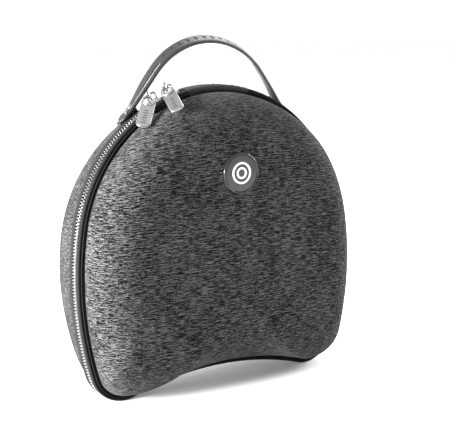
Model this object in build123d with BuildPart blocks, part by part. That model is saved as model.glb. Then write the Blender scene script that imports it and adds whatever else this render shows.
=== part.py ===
from build123d import *

# Headphone carrying case: two moulded, fabric-covered halves closed by a zip that runs all round
# below a fabric hinge, with a leather strap handle behind the zip.
# Frame: +X to the right as seen from the front, the front faces -Y, +Z up. The origin is on the
# floor under the middle of the case. Lengths are millimetres and angles are degrees.
# "Depth" is a distance from the zip plane, "inset" a distance inside the rim outline.

import os
from math import cos, radians, sin

os.makedirs("parts", exist_ok=True)

# ---- Driving dimensions ----
HALF_WIDTH = 125.0
HEIGHT = 240.0
CROWN_RADIUS = 123.0
CROWN_ANGLE = 80.3
SIDE_ANGLE = 106.2
ARCH_ANGLE = 17.3

FACE_SIDE_INSET = 22.9
FACE_TOP_INSET = 44.2
FACE_RAISE = 46.0
FACE_CROWN_RADIUS = 102.4
FACE_CROWN_ANGLE = 79.0
FACE_SIDE_ANGLE = 99.4
FACE_ARCH_ANGLE = 24.0

FRONT_DEPTH = 41.3
BADGE_PROUD = 1.8
BACK_DEPTH = 59.1
EDGE_DEPTH = 8.9
EDGE_INSET = 5.3
ROUND_STEPS = 7

COVER = 0.9
SHELL = 3.2
LINING = 0.7
LAYER_GAP = 0.12
PARTING = 0.6

HINGE_HALF_ANGLE = 13.2
ZIP_RIGHT_END_ANGLE = 33.0
TOOTH_PITCH = 2.5
TOOTH_LENGTH = 1.1
TOOTH_HEIGHT = 2.6
TOOTH_REACH = 2.85
TOOTH_OVERLAP = 1.0
TOOTH_PART = 0.6
TAPE_TOP = 2.75
TAPE_BOTTOM = 3.5
TAPE_GAP = 0.5

SLIDER_A_ANGLE = 17.9
SLIDER_B_ANGLE = 24.7
SLIDER_LENGTH = 10.4
SLIDER_WIDTH = 8.8
SLIDER_B_TRAVEL = 50.0
BAIL_HEIGHT = 8.2
BAIL_LENGTH = 8.0
BAIL_WIRE = 1.1
RING_RADIUS = 3.4
RING_WIRE = 0.6
RING_PLACE = (1.9, 1.63, 7.45)
RING_AXIS = (0.96, -0.27, 0.058)

TAB_LENGTH = 32.5
TAB_WIDTH = 11.0
TAB_THICKNESS = 1.5
TAB_EYE_HOLE = 3.9
TAB_A_EYE = (4.0, 6.9, 4.9)
TAB_B_EYE = (5.4, 5.6, 5.5)
TAB_A_DOWN = (-0.195, -0.861, -0.472)
TAB_B_DOWN = (-0.54, -0.52, -0.66)
TAB_FACING = (-0.54, -0.82, 0.18)

STRAP_FRONT = 5.0
STRAP_WIDTH = 10.0
STRAP_THICKNESS = 2.7
STRAP_RADIUS = 60.5
STRAP_TOP = 272.0
STRAP_ARCH_ANGLE = 52.5
STRAP_ROLL = 26.0
STRAP_FOOT_Z = 228.6
STRAP_BEND_ANGLE = 35.0
STRAP_TIP_ANGLE = 39.5
STRAP_LIFT = 0.4
RIVET_RADIUS = 2.1
RIVET_PLACES = (4.9, 9.7)

BADGE_Z = 174.7
BADGE_RADIUS = 16.0

CRADLE_FRONT = 18.0
CRADLE_RECESS = 26.0
POCKET_DEPTH = 22.0
POCKET_TOP = 112.0

# The zip plane lies ahead of the middle, because the back half is the deeper one.
ZIP_Y = (FRONT_DEPTH + BADGE_PROUD - BACK_DEPTH) / 2
FRONT = -1
BACK = 1


# ---- The outline of the case and its layers ----
def mix(start, end, share):
    return start + (end - start) * share


def outline_arcs(blend):
    """Seven arcs (centre x, centre z, radius, start, sweep, outward sign), anticlockwise from the top.

    A round crown, two flatter sides, two small lobes that the case stands on and a hollow arch
    between them, mixed between the rim (blend 0) and the flat face (blend 1).
    """
    half_width = mix(HALF_WIDTH, HALF_WIDTH - FACE_SIDE_INSET, blend)
    top = mix(HEIGHT, HEIGHT - FACE_TOP_INSET, blend)
    bottom = mix(0.0, FACE_RAISE, blend)
    crown = mix(CROWN_RADIUS, FACE_CROWN_RADIUS, blend)
    a1 = mix(CROWN_ANGLE, FACE_CROWN_ANGLE, blend)
    a2 = mix(SIDE_ANGLE, FACE_SIDE_ANGLE, blend)
    a3 = mix(ARCH_ANGLE, FACE_ARCH_ANGLE, blend)
    sin1, cos1 = sin(radians(a1)), cos(radians(a1))
    sin2, cos2 = sin(radians(a2)), cos(radians(a2))
    sin3, cos3 = sin(radians(a3)), cos(radians(a3))
    crown_z = top - crown
    side = (half_width - crown * sin1) / (1 - sin1)
    side_x = (crown - side) * sin1
    side_z = crown_z + (crown - side) * cos1
    lobe = (side_z - bottom + side * cos2) / (1 + cos2)
    lobe_x = side_x + (side - lobe) * sin2
    lobe_z = side_z + (side - lobe) * cos2
    arch = lobe_x / sin3 - lobe
    arch_z = lobe_z - (lobe + arch) * cos3
    return [
        (0.0, crown_z, crown, 90.0, a1, 1),
        (-side_x, side_z, side, 90 + a1, a2 - a1, 1),
        (-lobe_x, lobe_z, lobe, 90 + a2, 180 + a3 - a2, 1),
        (0.0, arch_z, arch, 90 + a3, -2 * a3, -1),
        (lobe_x, lobe_z, lobe, -90 - a3, 180 + a3 - a2, 1),
        (side_x, side_z, side, 90 - a2, a2 - a1, 1),
        (0.0, crown_z, crown, 90 - a1, a1, 1),
    ]


def outline(side, depth, blend=0.0, inset=0.0):
    """The closed outline as a sketch, `depth` from the zip plane on the given side."""
    with BuildSketch(Plane.XZ.offset(-(ZIP_Y + side * depth))) as face:
        with BuildLine():
            for x, z, radius, start, sweep, sign in outline_arcs(blend):
                CenterArc((x, z), radius - sign * inset, start, sweep)
        make_face()
    return face.sketch


def dome_sections(side, skin):
    """Outlines from the fabric edge to the flat face, for a surface `skin` inside the outer one."""
    total = FRONT_DEPTH if side == FRONT else BACK_DEPTH
    scale = (total - skin - EDGE_DEPTH) / (total - EDGE_DEPTH)
    sections = []
    for step in range(ROUND_STEPS + 1):
        turn = radians(90 * step / ROUND_STEPS)
        depth = EDGE_DEPTH + (total - EDGE_DEPTH) * sin(turn) * scale
        blend = 1 - cos(turn)
        sections.append(outline(side, depth, blend, EDGE_INSET * (1 - blend) + skin))
    return sections


def ring(side, near, far, outer, inner):
    """A flat-sided band that follows the rim, from depth `near` to `far`, between two insets."""
    with BuildPart() as band:
        extrude(outline(side, near, 0, outer), amount=far - near, dir=(0, side, 0))
        extrude(outline(side, near, 0, inner), amount=far - near, dir=(0, side, 0), mode=Mode.SUBTRACT)
    return band.part


def crown_plane(angle, lift=0.0):
    """A plane on the crown's rim: x along the zip towards the left, y to the front, z outwards.

    `angle` is measured from the top, positive to the left.
    """
    turn = radians(angle)
    outward = Vector(-sin(turn), 0, cos(turn))
    centre = Vector(0, ZIP_Y, HEIGHT - CROWN_RADIUS)
    origin = centre + outward * (CROWN_RADIUS + lift)
    return Plane(origin=origin, x_dir=(-cos(turn), 0, -sin(turn)), z_dir=outward)


def hinge_wedge():
    """The sector of the crown that the fabric hinge takes up."""
    centre_z = HEIGHT - CROWN_RADIUS
    reach = CROWN_RADIUS + 20
    half_width = reach * sin(radians(HINGE_HALF_ANGLE))
    top_z = centre_z + reach * cos(radians(HINGE_HALF_ANGLE))
    with BuildSketch(Plane.XZ.offset(-(ZIP_Y - 30))) as sector:
        with BuildLine():
            Polyline((0, centre_z), (half_width, top_z), (-half_width, top_z), close=True)
        make_face()
    return extrude(sector.sketch, amount=60, dir=(0, 1, 0))


hinge_sector = hinge_wedge()


# ---- Shell layers of both halves ----
def dome_layer(side, outer, inner, collar_inset=None):
    """One moulded layer: a dome, with a straight collar up to the parting if `collar_inset` is given."""
    with BuildPart() as layer:
        loft(dome_sections(side, outer))
        loft(dome_sections(side, inner), mode=Mode.SUBTRACT)
        if collar_inset is not None:
            add(ring(side, PARTING, EDGE_DEPTH, collar_inset, EDGE_INSET + inner))
    return layer.part


shell_skin = COVER + LAYER_GAP
lining_skin = shell_skin + SHELL + LAYER_GAP

back_fabric_cover = dome_layer(BACK, 0.0, COVER)
front_fabric_cover = dome_layer(FRONT, 0.0, COVER)
back_shell = dome_layer(BACK, shell_skin, shell_skin + SHELL, EDGE_INSET + shell_skin)
front_shell = dome_layer(FRONT, shell_skin, shell_skin + SHELL, EDGE_INSET + shell_skin)
back_lining = dome_layer(BACK, lining_skin, lining_skin + LINING, EDGE_INSET + lining_skin)
front_lining = dome_layer(FRONT, lining_skin, lining_skin + LINING, EDGE_INSET + lining_skin)


# ---- Edge trims: a rounded piping on the front half, a flat binding on the back half ----
def edge_trim(side, near, far, outer, roundness):
    """A band along the rim, between two depths, with its outer corners rounded."""
    outer_radii = [radius - sign * outer for _, _, radius, _, _, sign in outline_arcs(0.0)]
    with BuildPart() as trim:
        add(ring(side, near, far, outer, TAPE_TOP - 0.1))
        arcs = trim.edges().filter_by(GeomType.CIRCLE)
        outer_arcs = [arc for arc in arcs if any(abs(arc.radius - radius) < 0.01 for radius in outer_radii)]
        fillet(outer_arcs, roundness)
        add(hinge_sector, mode=Mode.SUBTRACT)
    return trim.part


front_edge_piping = edge_trim(FRONT, 3.1, 7.6, 0.2, 1.0)
back_edge_binding = edge_trim(BACK, 3.1, 8.6, 1.2, 0.5)


# ---- Zip ----
def zip_tape(side):
    """The woven tape that one row of teeth is fixed to."""
    with BuildPart() as tape:
        add(ring(side, TAPE_GAP, 8.6, TAPE_TOP, TAPE_BOTTOM))
        add(hinge_sector, mode=Mode.SUBTRACT)
    return tape.part


def rim_places(offset):
    """(plane, crown angle or None) of each tooth, anticlockwise from the zip's left end."""
    places = []
    travelled = 0.0
    wanted = offset
    for index, (x, z, radius, start, sweep, sign) in enumerate(outline_arcs(0.0)):
        length = radians(abs(sweep)) * radius
        while wanted < travelled + length:
            angle = start + sweep * (wanted - travelled) / length
            radial = Vector(cos(radians(angle)), 0, sin(radians(angle)))
            outward = radial * sign
            point = Vector(x, ZIP_Y, z) + radial * radius
            along = Vector(-outward.Z, 0, outward.X)
            crown_angle = angle - 90 if index in (0, 6) else None
            places.append((Plane(origin=point, x_dir=along, z_dir=outward), crown_angle))
            wanted += TOOTH_PITCH
        travelled += length
    return places


def has_tooth(crown_angle):
    """Whether a tooth stands there: none do under the sliders, the hinge and the open tape to its right."""
    if crown_angle is None:
        return True
    return crown_angle > SLIDER_B_ANGLE + 3.2 or crown_angle < -ZIP_RIGHT_END_ANGLE


def zip_teeth(side):
    """One row of teeth. They interlock, except where the lower slider's divider runs between them."""
    offset = TOOTH_PITCH / 2 if side == BACK else 0.0
    travel_end = SLIDER_B_ANGLE + SLIDER_B_TRAVEL + 4
    planes_by_parting = {True: [], False: []}
    for plane, crown_angle in rim_places(offset):
        if has_tooth(crown_angle):
            parted = crown_angle is not None and 0 < crown_angle < travel_end
            planes_by_parting[parted].append(plane)
    with BuildPart() as teeth:
        for parted, planes in planes_by_parting.items():
            inner = TOOTH_PART if parted else -TOOTH_OVERLAP
            middle = -side * (TOOTH_REACH + inner) / 2
            spots = [plane.offset(-TOOTH_HEIGHT / 2) * Pos(0, middle, 0) for plane in planes]
            with Locations(*spots):
                Box(TOOTH_LENGTH, TOOTH_REACH - inner, TOOTH_HEIGHT)
    return teeth.part


zip_tape_back = zip_tape(BACK)
zip_tape_front = zip_tape(FRONT)
zip_teeth_back = zip_teeth(BACK)
zip_teeth_front = zip_teeth(FRONT)

with BuildPart() as zip_end_stops:
    for stop_angle in (SLIDER_A_ANGLE - 3.4, -ZIP_RIGHT_END_ANGLE + 1.2):
        stop_plane = crown_plane(stop_angle, -TOOTH_HEIGHT / 2)
        with Locations(stop_plane.location * Pos(0, 1.75, 0)):
            Box(1.8, 2.2, TOOTH_HEIGHT)

# ---- Fabric hinge across the top ----
with BuildPart() as hinge_band:
    add(ring(BACK, -7.4, 8.6, -0.3, 2.4))
    add(hinge_sector, mode=Mode.INTERSECT)

liner_inset = EDGE_INSET + lining_skin + LINING + 0.2
with BuildPart() as hinge_liner:
    add(ring(BACK, PARTING, 12.0, liner_inset, liner_inset + 1.2))
    add(hinge_sector, mode=Mode.INTERSECT)

# ---- Handle ----
# The strap's side view is an arch between two straight legs. The strap is rolled forward, so that
# its back edge stands higher than its front edge.
strap_y = ZIP_Y + STRAP_FRONT
strap_centre_z = STRAP_TOP - STRAP_RADIUS
leg_turn = radians(STRAP_ARCH_ANGLE)


def leg_point(radius, z):
    """A point on the right leg's line, at height z; `radius` is that line's radius in the arch."""
    shoulder_x = radius * sin(leg_turn)
    shoulder_z = strap_centre_z + radius * cos(leg_turn)
    return (shoulder_x + (shoulder_z - z) * cos(leg_turn) / sin(leg_turn), z)


def crown_point(angle, lift):
    """A point above the crown, `angle` from the top towards the right."""
    reach = CROWN_RADIUS + lift
    return (reach * sin(radians(angle)), HEIGHT - CROWN_RADIUS + reach * cos(radians(angle)))


with BuildPart() as handle_strap:
    cut_z = STRAP_FOOT_Z - STRAP_WIDTH * sin(radians(STRAP_ROLL))
    with BuildSketch(Plane.XZ.offset(-strap_y)):
        with BuildLine():
            outer_radius = STRAP_RADIUS + STRAP_THICKNESS
            arch_start = 90 - STRAP_ARCH_ANGLE
            arch_sweep = 2 * STRAP_ARCH_ANGLE
            inner_arch = CenterArc((0, strap_centre_z), STRAP_RADIUS, arch_start, arch_sweep)
            outer_arch = CenterArc((0, strap_centre_z), outer_radius, arch_start, arch_sweep)
            for end, sign in ((0, 1), (1, -1)):
                inner_x, inner_z = leg_point(STRAP_RADIUS, cut_z)
                outer_x, outer_z = leg_point(outer_radius, cut_z)
                Polyline(
                    inner_arch @ end,
                    (sign * inner_x, inner_z),
                    (sign * outer_x, outer_z),
                    outer_arch @ end,
                )
        make_face()
    extrude(amount=STRAP_WIDTH, dir=(0, cos(radians(STRAP_ROLL)), sin(radians(STRAP_ROLL))))
    with BuildSketch(Plane.YZ.offset(-HALF_WIDTH)):
        with Locations((strap_y + STRAP_WIDTH / 2, STRAP_FOOT_Z + 50)):
            RectangleRounded(STRAP_WIDTH, 100, STRAP_WIDTH / 2 - 0.05)
    extrude(amount=2 * HALF_WIDTH, mode=Mode.INTERSECT)

# The strap's ends go on down from its feet and bend to lie along the crown, behind the zip.
end_top = STRAP_FOOT_Z - 0.3
end_foot = leg_point(STRAP_RADIUS, end_top)
end_bend = crown_point(STRAP_BEND_ANGLE, STRAP_LIFT)
end_tip = crown_point(STRAP_TIP_ANGLE, STRAP_LIFT)
end_slope = Vector(end_bend[0] - end_foot[0], end_bend[1] - end_foot[1]).normalized()
end_normal = Vector(-end_slope.Y, end_slope.X)


def rivet_plane(place, lift):
    """The plane of a rivet on the right end, `place` from the foot's inner edge."""
    point = Vector(*end_foot) + end_slope * place + end_normal * lift
    origin = (point.X, strap_y + STRAP_WIDTH / 2, point.Y)
    return Plane(origin=origin, x_dir=(0, 1, 0), z_dir=(end_normal.X, 0, end_normal.Y))


with BuildPart() as handle_end_right:
    with BuildSketch(Plane.XZ.offset(-strap_y)):
        with BuildLine():
            Polyline(
                end_foot,
                end_bend,
                end_tip,
                crown_point(STRAP_TIP_ANGLE, STRAP_LIFT + STRAP_THICKNESS),
                crown_point(STRAP_BEND_ANGLE - 0.3, STRAP_LIFT + STRAP_THICKNESS),
                leg_point(STRAP_RADIUS + STRAP_THICKNESS, end_top),
                close=True,
            )
        make_face()
    extrude(amount=-STRAP_WIDTH)
    tip_axis = crown_plane(-STRAP_TIP_ANGLE).z_dir
    fillet(handle_end_right.edges().filter_by(Axis((0, 0, 0), tip_axis)), STRAP_WIDTH / 2 - 0.1)
    for place in RIVET_PLACES:
        with Locations(rivet_plane(place, 0).location):
            Cylinder(1.3, 12, mode=Mode.SUBTRACT)

with BuildPart() as handle_pad_right:
    pad_front = ZIP_Y + EDGE_DEPTH + 0.1
    with BuildSketch(Plane.XZ.offset(-pad_front)):
        with BuildLine():
            Polyline(
                (end_foot[0] + 0.5, end_foot[1] - 1.2),
                (end_bend[0] - 0.12, end_bend[1] - 0.12),
                crown_point(STRAP_TIP_ANGLE - 1.0, STRAP_LIFT - 0.12),
                crown_point(STRAP_TIP_ANGLE - 1.0, -12),
                crown_point(STRAP_BEND_ANGLE - 6.0, -12),
                close=True,
            )
        make_face()
    extrude(amount=-(strap_y + STRAP_WIDTH - pad_front - 0.6))
    loft(dome_sections(BACK, -0.12), mode=Mode.SUBTRACT)
    for place in RIVET_PLACES:
        with Locations(rivet_plane(place, 0).location):
            Cylinder(1.3, 12, mode=Mode.SUBTRACT)

with BuildPart() as handle_rivets:
    for place in RIVET_PLACES:
        with Locations(rivet_plane(place, STRAP_THICKNESS + 0.05).location):
            Cylinder(RIVET_RADIUS, 1.1, align=(Align.CENTER, Align.CENTER, Align.MIN))
            Cylinder(1.2, STRAP_THICKNESS + 1.5, align=(Align.CENTER, Align.CENTER, Align.MAX))
    mirror(about=Plane.YZ)

handle_end_left = mirror(handle_end_right.part, about=Plane.YZ)
handle_pad_left = mirror(handle_pad_right.part, about=Plane.YZ)


# ---- Sliders and pulls ----
def slider_body(angle):
    """Top plate, bottom plate and the thin divider that joins them between the two tapes."""
    half_width = SLIDER_WIDTH / 2
    half_length = SLIDER_LENGTH / 2
    with BuildPart() as body:
        with BuildSketch(crown_plane(angle, 0.35)):
            with BuildLine():
                Polyline(
                    (half_length, half_width * 0.62),
                    (half_length * 0.1, half_width * 0.72),
                    (-half_length * 0.35, half_width),
                    (-half_length, half_width),
                    (-half_length, -half_width),
                    (-half_length * 0.35, -half_width),
                    (half_length * 0.1, -half_width * 0.72),
                    (half_length, -half_width * 0.62),
                    close=True,
                )
            make_face()
        extrude(amount=1.4)
        fillet(body.edges().filter_by(Axis(crown_plane(angle).origin, crown_plane(angle).z_dir)), 0.8)
        with BuildSketch(crown_plane(angle, -4.8)):
            Rectangle(SLIDER_LENGTH - 1, 5.2)
        extrude(amount=1.0)
        with BuildSketch(crown_plane(angle, -3.8)):
            Rectangle(3.0, 0.8)
        extrude(amount=4.15)
    return body.part


def slider_bail(angle):
    """The bridge on a slider's back that its pull tab hangs from."""
    base = crown_plane(angle, 1.75)
    side_view = Plane(origin=base.origin, x_dir=base.x_dir, z_dir=-base.y_dir)
    rise = BAIL_HEIGHT - 1.75
    with BuildPart() as bail:
        with BuildSketch(side_view.offset(-0.6 * BAIL_WIRE)):
            with Locations((0, rise / 2)):
                RectangleRounded(BAIL_LENGTH, rise, 1.6)
            with Locations((0, (rise - BAIL_WIRE) / 2 - 2)):
                RectangleRounded(BAIL_LENGTH - 2 * BAIL_WIRE, rise - BAIL_WIRE + 4, 0.9, mode=Mode.SUBTRACT)
            with Locations((0, 0.4)):
                Rectangle(BAIL_LENGTH - 2 * BAIL_WIRE, 1.7, mode=Mode.SUBTRACT)
        extrude(amount=1.2 * BAIL_WIRE)
    return bail.part


def place_on(angle, spot):
    """A point near a slider: along the zip, to the front, and outwards from the rim."""
    base = crown_plane(angle)
    return base.origin + base.x_dir * spot[0] + base.y_dir * spot[1] + base.z_dir * spot[2]


def pull_ring(angle):
    """The round link between a slider's bail and the eye of its pull tab."""
    base = crown_plane(angle)
    axis = base.x_dir * RING_AXIS[0] + base.y_dir * RING_AXIS[1] + base.z_dir * RING_AXIS[2]
    centre = place_on(angle, RING_PLACE)
    outward = axis.cross(base.y_dir).normalized()
    with BuildPart() as ring_part:
        with BuildSketch(Plane(origin=centre, x_dir=outward, z_dir=outward.cross(axis))):
            with Locations((RING_RADIUS, 0)):
                Circle(RING_WIRE)
        revolve(axis=Axis(centre, axis))
    return ring_part.part


def pull_tab(angle, spot, direction):
    """A plate with a rounded end and a large eye, whose centre is at `spot` near its slider."""
    down = Vector(*direction).normalized()
    facing = Vector(*TAB_FACING)
    normal = (facing - down * facing.dot(down)).normalized()
    half_width = TAB_WIDTH / 2
    plane = Plane(origin=place_on(angle, spot), x_dir=normal.cross(down), z_dir=normal)
    tip = half_width - TAB_LENGTH
    with BuildPart() as tab:
        with BuildSketch(plane.offset(-TAB_THICKNESS / 2)) as plate:
            Circle(half_width)
            with Locations((0, tip / 2)):
                Rectangle(TAB_WIDTH, -tip)
            fillet(plate.vertices().group_by(Axis.Y)[0], 4)
            Circle(TAB_EYE_HOLE, mode=Mode.SUBTRACT)
        extrude(amount=TAB_THICKNESS)
    return tab.part


slider_a_body = slider_body(SLIDER_A_ANGLE)
slider_b_body = slider_body(SLIDER_B_ANGLE)
slider_a_bail = slider_bail(SLIDER_A_ANGLE)
slider_b_bail = slider_bail(SLIDER_B_ANGLE)
pull_ring_a = pull_ring(SLIDER_A_ANGLE)
pull_ring_b = pull_ring(SLIDER_B_ANGLE)
pull_tab_a = pull_tab(SLIDER_A_ANGLE, TAB_A_EYE, TAB_A_DOWN)
pull_tab_b = pull_tab(SLIDER_B_ANGLE, TAB_B_EYE, TAB_B_DOWN)

# ---- Badge ----
with BuildPart() as badge_bezel:
    with BuildSketch(Plane.XZ.offset(-(ZIP_Y - FRONT_DEPTH - 0.02))):
        with Locations((0, BADGE_Z)):
            Circle(BADGE_RADIUS)
            Circle(BADGE_RADIUS - 0.9, mode=Mode.SUBTRACT)
    extrude(amount=1.5)

with BuildPart() as badge_disc:
    with BuildSketch(Plane.XZ.offset(-(ZIP_Y - FRONT_DEPTH - 0.02))):
        with Locations((0, BADGE_Z)):
            Circle(BADGE_RADIUS - 1.0)
    extrude(amount=1.4)

with BuildPart() as badge_emblem:
    with BuildSketch(Plane.XZ.offset(-(ZIP_Y - FRONT_DEPTH - 1.44))):
        with Locations((0, BADGE_Z)):
            for radius in (8.5, 4.6):
                Circle(radius)
                Circle(radius - 1.6, mode=Mode.SUBTRACT)
    extrude(amount=BADGE_PROUD - 1.44)

# ---- Inside ----
with BuildPart() as headphone_cradle:
    extrude(outline(BACK, CRADLE_FRONT, 1.0, 7.0), amount=BACK_DEPTH - 6.0 - CRADLE_FRONT, dir=(0, 1, 0))
    with BuildSketch(Plane.XZ.offset(-(ZIP_Y + CRADLE_FRONT))):
        with Locations((-50, 104), (50, 104)):
            Ellipse(34, 44)
        with Locations((0, 98)):
            Circle(84)
            Circle(58, mode=Mode.SUBTRACT)
        with Locations((0, 60)):
            Rectangle(200, 76, mode=Mode.SUBTRACT)
        with Locations((-50, 104), (50, 104)):
            Ellipse(34, 44)
    extrude(amount=-CRADLE_RECESS, mode=Mode.SUBTRACT)

with BuildPart() as mesh_pocket:
    extrude(outline(FRONT, POCKET_DEPTH, 0.12, 14.0), amount=0.8, dir=(0, -1, 0))
    split(bisect_by=Plane.XY.offset(POCKET_TOP), keep=Keep.BOTTOM)

with BuildPart() as pocket_hem:
    extrude(outline(FRONT, POCKET_DEPTH - 1.0, 0.12, 14.0), amount=2.8, dir=(0, -1, 0))
    split(bisect_by=Plane.XY.offset(POCKET_TOP + 0.2), keep=Keep.TOP)
    split(bisect_by=Plane.XY.offset(POCKET_TOP + 7.0), keep=Keep.BOTTOM)

# ---- Write the parts ----
parts = {
    "back_shell": back_shell,
    "back_fabric_cover": back_fabric_cover,
    "back_lining": back_lining,
    "back_edge_binding": back_edge_binding,
    "zip_tape_back": zip_tape_back,
    "zip_teeth_back": zip_teeth_back,
    "zip_end_stops": zip_end_stops.part,
    "hinge_band": hinge_band.part,
    "hinge_liner": hinge_liner.part,
    "handle_end_left": handle_end_left,
    "handle_end_right": handle_end_right.part,
    "handle_pad_left": handle_pad_left,
    "handle_pad_right": handle_pad_right.part,
    "handle_rivets": handle_rivets.part,
    "headphone_cradle": headphone_cradle.part,
    "front_shell": front_shell,
    "front_fabric_cover": front_fabric_cover,
    "front_lining": front_lining,
    "front_edge_piping": front_edge_piping,
    "zip_tape_front": zip_tape_front,
    "zip_teeth_front": zip_teeth_front,
    "badge_bezel": badge_bezel.part,
    "badge_disc": badge_disc.part,
    "badge_emblem": badge_emblem.part,
    "mesh_pocket": mesh_pocket.part,
    "pocket_hem": pocket_hem.part,
    "handle_strap": handle_strap.part,
    "slider_a_body": slider_a_body,
    "slider_a_bail": slider_a_bail,
    "slider_b_body": slider_b_body,
    "slider_b_bail": slider_b_bail,
    "pull_ring_a": pull_ring_a,
    "pull_ring_b": pull_ring_b,
    "pull_tab_a": pull_tab_a,
    "pull_tab_b": pull_tab_b,
}
for name, part in parts.items():
    part.label = name
    export_step(part, f"parts/{name}.step")
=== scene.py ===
"""Looks of the headphone carrying case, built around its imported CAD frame. Lengths are in metres."""

import math
import random

import bmesh
import bpy
import numpy as np
from mathutils import Matrix, Vector


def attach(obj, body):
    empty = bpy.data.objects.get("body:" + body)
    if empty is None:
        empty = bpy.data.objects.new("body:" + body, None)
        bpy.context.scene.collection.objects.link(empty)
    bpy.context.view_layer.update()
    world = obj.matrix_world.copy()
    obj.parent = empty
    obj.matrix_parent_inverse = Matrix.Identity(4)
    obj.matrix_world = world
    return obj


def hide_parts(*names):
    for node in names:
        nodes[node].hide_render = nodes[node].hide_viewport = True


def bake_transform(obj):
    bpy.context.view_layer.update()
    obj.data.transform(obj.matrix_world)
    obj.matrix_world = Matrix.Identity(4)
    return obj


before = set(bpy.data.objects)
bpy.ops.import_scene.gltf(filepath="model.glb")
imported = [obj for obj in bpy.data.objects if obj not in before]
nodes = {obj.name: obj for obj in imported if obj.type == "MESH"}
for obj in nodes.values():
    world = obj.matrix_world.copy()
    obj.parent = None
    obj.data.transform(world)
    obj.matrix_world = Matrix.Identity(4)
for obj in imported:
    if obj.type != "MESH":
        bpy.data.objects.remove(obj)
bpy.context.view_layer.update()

MM = 0.001

# ---- Dimensions that scene.py shares with the CAD part ----
ZIP_Y = -8.0 * MM
HALF_WIDTH = 125.0 * MM
HEIGHT = 240.0 * MM
CROWN_RADIUS = 123.0 * MM
CROWN_ANGLE = 80.3
SIDE_ANGLE = 106.2
ARCH_ANGLE = 17.3
FACE_SIDE_INSET = 22.9 * MM
FACE_TOP_INSET = 44.2 * MM
FACE_RAISE = 46.0 * MM
FACE_CROWN_RADIUS = 102.4 * MM
FACE_CROWN_ANGLE = 79.0
FACE_SIDE_ANGLE = 99.4
FACE_ARCH_ANGLE = 24.0
FRONT_DEPTH = 41.3 * MM
BACK_DEPTH = 59.1 * MM
EDGE_DEPTH = 8.9 * MM
EDGE_INSET = 5.3 * MM
HINGE_HALF_ANGLE = 13.2
ZIP_RIGHT_END_ANGLE = 33.0
SLIDER_A_ANGLE = 17.9
SLIDER_B_ANGLE = 24.7
SLIDER_B_TRAVEL = 50.0
TOOTH_PITCH = 2.5 * MM
STRAP_FRONT = 5.0 * MM
STRAP_WIDTH = 10.0 * MM
STRAP_THICKNESS = 2.7 * MM
STRAP_RADIUS = 60.5 * MM
STRAP_TOP = 272.0 * MM
STRAP_ARCH_ANGLE = 52.5
STRAP_ROLL = 26.0
STRAP_BEND_ANGLE = 35.0
STRAP_TIP_ANGLE = 39.5
CROWN_TURN = 1.6
BADGE_Z = 174.7 * MM
BADGE_RADIUS = 16.0 * MM
TAB_LENGTH = 32.5 * MM
TAB_WIDTH = 11.0 * MM
TAB_THICKNESS = 1.5 * MM
TAB_EYE_HOLE = 3.9 * MM
TAB_A_EYE = (4.0, 6.9, 4.9)
TAB_B_EYE = (5.4, 5.6, 5.5)
TAB_A_DOWN = (-0.195, -0.861, -0.472)
TAB_B_DOWN = (-0.54, -0.52, -0.66)
TAB_FACING = (-0.54, -0.82, 0.18)
FRONT = -1
BACK = 1


# ---- The outline of the case ----
def mix(start, end, share):
    return start + (end - start) * share


def smooth_step(share):
    share = np.clip(share, 0, 1)
    return share * share * (3 - 2 * share)


def outline_arcs(blend):
    """The seven arcs of the outline, mixed between the rim (blend 0) and the flat face (blend 1)."""
    half_width = mix(HALF_WIDTH, HALF_WIDTH - FACE_SIDE_INSET, blend)
    top = mix(HEIGHT, HEIGHT - FACE_TOP_INSET, blend)
    bottom = mix(0.0, FACE_RAISE, blend)
    crown = mix(CROWN_RADIUS, FACE_CROWN_RADIUS, blend)
    a1 = mix(CROWN_ANGLE, FACE_CROWN_ANGLE, blend)
    a2 = mix(SIDE_ANGLE, FACE_SIDE_ANGLE, blend)
    a3 = mix(ARCH_ANGLE, FACE_ARCH_ANGLE, blend)
    sin1, cos1 = math.sin(math.radians(a1)), math.cos(math.radians(a1))
    sin2, cos2 = math.sin(math.radians(a2)), math.cos(math.radians(a2))
    sin3, cos3 = math.sin(math.radians(a3)), math.cos(math.radians(a3))
    crown_z = top - crown
    side = (half_width - crown * sin1) / (1 - sin1)
    side_x = (crown - side) * sin1
    side_z = crown_z + (crown - side) * cos1
    lobe = (side_z - bottom + side * cos2) / (1 + cos2)
    lobe_x = side_x + (side - lobe) * sin2
    lobe_z = side_z + (side - lobe) * cos2
    arch = lobe_x / sin3 - lobe
    arch_z = lobe_z - (lobe + arch) * cos3
    return [
        (0.0, crown_z, crown, 90.0, a1, 1),
        (-side_x, side_z, side, 90 + a1, a2 - a1, 1),
        (-lobe_x, lobe_z, lobe, 90 + a2, 180 + a3 - a2, 1),
        (0.0, arch_z, arch, 90 + a3, -2 * a3, -1),
        (lobe_x, lobe_z, lobe, -90 - a3, 180 + a3 - a2, 1),
        (side_x, side_z, side, 90 - a2, a2 - a1, 1),
        (0.0, crown_z, crown, 90 - a1, a1, 1),
    ]


ARC_STEPS = (96, 40, 40, 72, 40, 40, 96)


def outline_points(blend, inset=0.0):
    """Points (x, z) and outward normals round the whole outline; each arc has its own step count."""
    points, normals = [], []
    for (x, z, radius, start, sweep, sign), count in zip(outline_arcs(blend), ARC_STEPS):
        angles = np.radians(start + sweep * np.arange(count) / count)
        radial = np.stack([np.cos(angles), np.sin(angles)], 1)
        points.append(np.array([x, z]) + radial * (radius - sign * inset))
        normals.append(radial * sign)
    return np.vstack(points), np.vstack(normals)


RIM_ARCS = outline_arcs(0.0)
RIM_ARC_LENGTHS = [math.radians(abs(arc[4])) * arc[2] for arc in RIM_ARCS]
RIM_LENGTH = sum(RIM_ARC_LENGTHS)
CROWN_CENTRE_Z = HEIGHT - CROWN_RADIUS


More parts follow.
